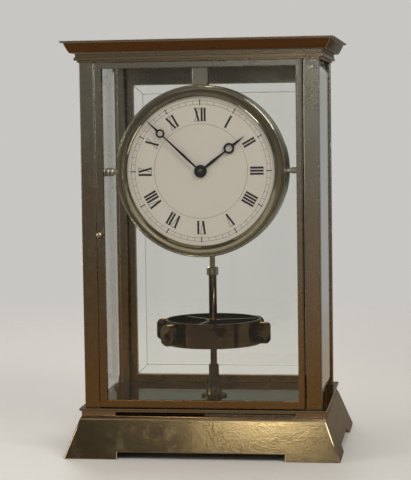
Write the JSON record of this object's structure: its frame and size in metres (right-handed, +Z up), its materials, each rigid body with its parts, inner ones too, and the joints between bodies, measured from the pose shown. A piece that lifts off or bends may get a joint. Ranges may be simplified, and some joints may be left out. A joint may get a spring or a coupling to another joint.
{
  "type": "atmospheric clock",
  "caption": "Glazed metal case clock with a round dial, hands, a torsion pendulum under it, a hinged front door and an air-temperature motor behind the movement.",
  "frame": {"origin": "middle of the underside of the base", "axes": "+Z up, the door and dial face -Y, +X to the viewer's right"},
  "size_m": [0.1804, 0.1378, 0.27],
  "materials": {
    "nickel_case": "aged nickel plating on brass, satin with brighter edges",
    "nickel_bright": "polished nickel plating",
    "glass": "clear bevelled plate glass, faintly green at its edges",
    "vessel_glass": "sealed glass vessel",
    "enamel": "warm white enamel with black numerals",
    "blued_steel": "polished and blued",
    "steel": "ground steel",
    "brass": "lacquered brass",
    "motor_can": "nickelled brass sheet, polished",
    "dark_nickel": "polished nickel, darkened to brown"
  },
  "bodies": {
    "case": {"plinth": "nickel_case", "plinth_closing_plate": "steel", "base_step": "nickel_case", "base_plate": "nickel_bright", "column_front_left": "nickel_case", "column_front_right": "nickel_case", "column_back_left": "nickel_case", "column_back_right": "nickel_case", "column_screws": "steel", "head_plate": "nickel_case", "cornice": "nickel_case", "back_frame": "nickel_case", "back_glass": "glass", "side_glass_left": "glass", "side_glass_right": "glass", "drum_shell": "nickel_bright", "bezel": "nickel_bright", "dial": "enamel", "hanging_strap": "nickel_bright", "strap_screws": "steel", "side_studs": "nickel_bright", "stud_nut_left": "nickel_bright", "front_plate": "brass", "back_plate": "brass", "plate_pillars": "brass", "plate_screws": "steel", "pallet_cock": "brass", "suspension_cock": "nickel_bright", "suspension_wire": "steel", "lock_post": "dark_nickel", "rear_plate": "brass"},
    "door": {"door_frame": "nickel_case", "door_glass": "glass", "door_pivot_pins": "steel"},
    "door_catch": {"door_knob": "nickel_bright", "door_latch": "nickel_bright"},
    "minute_train": {"minute_hand": "blued_steel", "hand_nut": "blued_steel", "centre_wheel": "brass"},
    "hour_train": {"hour_hand": "blued_steel", "hour_wheel": "brass"},
    "motion_wheel": {"minute_wheel": "brass"},
    "going_barrel": {"barrel": "brass", "mainspring": "steel"},
    "third": {"third_wheel": "brass"},
    "escape": {"escape_wheel": "brass"},
    "winding_arbor": {"barrel_arbor": "steel"},
    "ratchet_click": {"click": "steel"},
    "pallets": {"pallet_lever": "steel"},
    "pendulum": {"pendulum_tube": "dark_nickel", "balance_ring": "dark_nickel", "balance_spider": "dark_nickel", "balance_weights": "dark_nickel", "pendulum_foot": "dark_nickel"},
    "lock_bar": {"lock_slide": "steel"},
    "lock_pin": {"lock_plunger": "steel"},
    "motor": {"motor_drum": "motor_can", "motor_cover": "motor_can", "motor_vessel": "vessel_glass"},
    "winding": {"winding_wheel": "brass"}
  },
  "joints": [
    {"name": "door_hinge", "type": "hinge", "parent": "case", "child": "door", "pos_m": [0.06545, -0.054, 0.1439], "axis": [0, 0, 1], "range_deg": [0, 95]},
    {"name": "door_catch_turn", "type": "hinge", "parent": "door", "child": "door_catch", "pos_m": [-0.06507, -0.054, 0.145], "axis": [0, -1, 0], "range_deg": [0, 90]},
    {"name": "minute_hand_turn", "type": "hinge", "parent": "case", "child": "minute_train", "pos_m": [0, -0.045, 0.1853], "axis": [0, 1, 0], "continuous": true},
    {"name": "hour_hand_turn", "type": "hinge", "parent": "case", "child": "hour_train", "pos_m": [0, -0.045, 0.1853], "axis": [0, 1, 0], "continuous": true},
    {"name": "motion_wheel_turn", "type": "hinge", "parent": "case", "child": "motion_wheel", "pos_m": [0.00786, -0.043, 0.17979], "axis": [0, 1, 0], "continuous": true},
    {"name": "barrel_turn", "type": "hinge", "parent": "case", "child": "going_barrel", "pos_m": [-0.024, -0.03, 0.1853], "axis": [0, 1, 0], "continuous": true},
    {"name": "third_wheel_turn", "type": "hinge", "parent": "case", "child": "third", "pos_m": [0.01295, -0.03, 0.1728], "axis": [0, 1, 0], "continuous": true},
    {"name": "escape_wheel_turn", "type": "hinge", "parent": "case", "child": "escape", "pos_m": [0, -0.03, 0.1603], "axis": [0, 1, 0], "continuous": true},
    {"name": "winding_arbor_turn", "type": "hinge", "parent": "case", "child": "winding_arbor", "pos_m": [-0.024, -0.03, 0.1853], "axis": [0, 1, 0], "continuous": true},
    {"name": "click_lift", "type": "hinge", "parent": "case", "child": "ratchet_click", "pos_m": [-0.01712, -0.015, 0.19513], "axis": [0, 1, 0], "range_deg": [0, 12]},
    {"name": "pallets_rock", "type": "hinge", "parent": "case", "child": "pallets", "pos_m": [0, -0.02, 0.1488], "axis": [0, 1, 0], "range_deg": [-3, 3]},
    {"name": "pendulum_turn", "type": "hinge", "parent": "case", "child": "pendulum", "pos_m": [0, 0, 0.12], "axis": [0, 0, 1], "range_deg": [-225, 225], "stiffness_Nm_per_rad": 0.0000013},
    {"name": "lock_slide_travel", "type": "slide", "parent": "case", "child": "lock_bar", "axis": [-1, 0, 0], "range_m": [0, 0.058]},
    {"name": "lock_plunger_lift", "type": "slide", "parent": "case", "child": "lock_pin", "axis": [0, 0, 1], "range_m": [0, 0.0016]},
    {"name": "motor_turn", "type": "hinge", "parent": "case", "child": "motor", "pos_m": [0, 0.025, 0.1853], "axis": [0, 1, 0], "range_deg": [-60, 60]},
    {"name": "winding_wheel_turn", "type": "hinge", "parent": "case", "child": "winding", "pos_m": [-0.024, -0.03, 0.1853], "axis": [0, 1, 0], "range_deg": [-60, 60]}
  ],
  "couplings": [
    {"joint": "hour_hand_turn", "follows": "minute_hand_turn", "ratio": 0.083333},
    {"joint": "motion_wheel_turn", "follows": "minute_hand_turn", "ratio": -0.33333},
    {"joint": "barrel_turn", "follows": "minute_hand_turn", "ratio": -0.2},
    {"joint": "third_wheel_turn", "follows": "minute_hand_turn", "ratio": -2},
    {"joint": "escape_wheel_turn", "follows": "minute_hand_turn", "ratio": 4},
    {"joint": "lock_plunger_lift", "follows": "lock_slide_travel", "ratio": 0.027586},
    {"joint": "winding_wheel_turn", "follows": "motor_turn", "ratio": -1}
  ]
}
